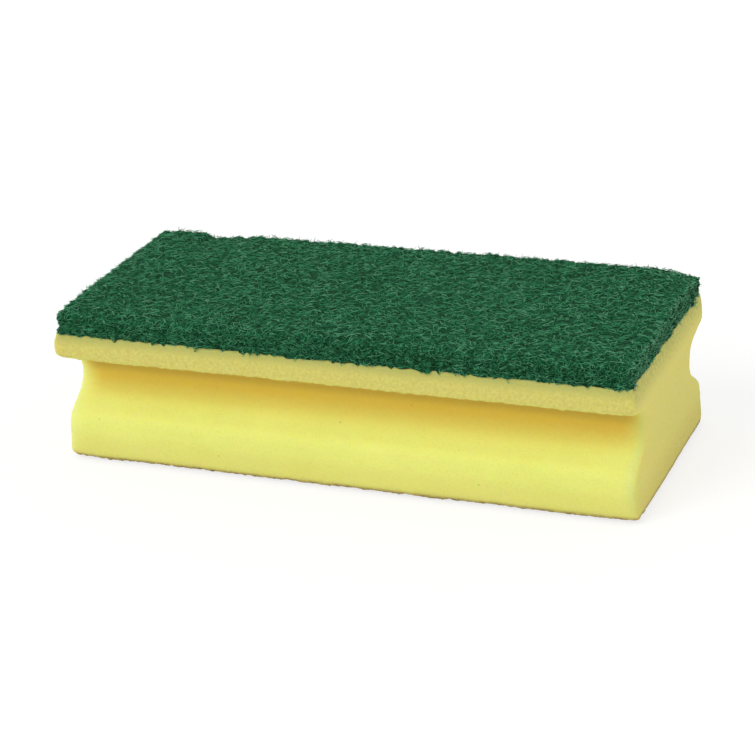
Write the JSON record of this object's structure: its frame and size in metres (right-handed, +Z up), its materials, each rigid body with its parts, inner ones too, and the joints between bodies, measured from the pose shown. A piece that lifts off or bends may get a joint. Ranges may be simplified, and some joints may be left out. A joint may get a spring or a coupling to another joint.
{
  "type": "cleaning sponge",
  "caption": "Finger-grip cleaning sponge: yellow foam block with a groove along each long side and a green scouring pad bonded on top.",
  "frame": {"origin": "middle of the foam's underside, on the plane that it rests on", "axes": "+X along the sponge and its finger grooves, +Y across it, +Z up from the foam to the scouring pad"},
  "size_m": [0.15, 0.061, 0.041],
  "materials": {
    "foam": "soft yellow open-cell foam, matte",
    "scouring_fibre": "dark green non-woven abrasive fibre, matte"
  },
  "bodies": {
    "root": {"foam_body": "foam", "scouring_pad": "scouring_fibre"}
  },
  "joints": []
}
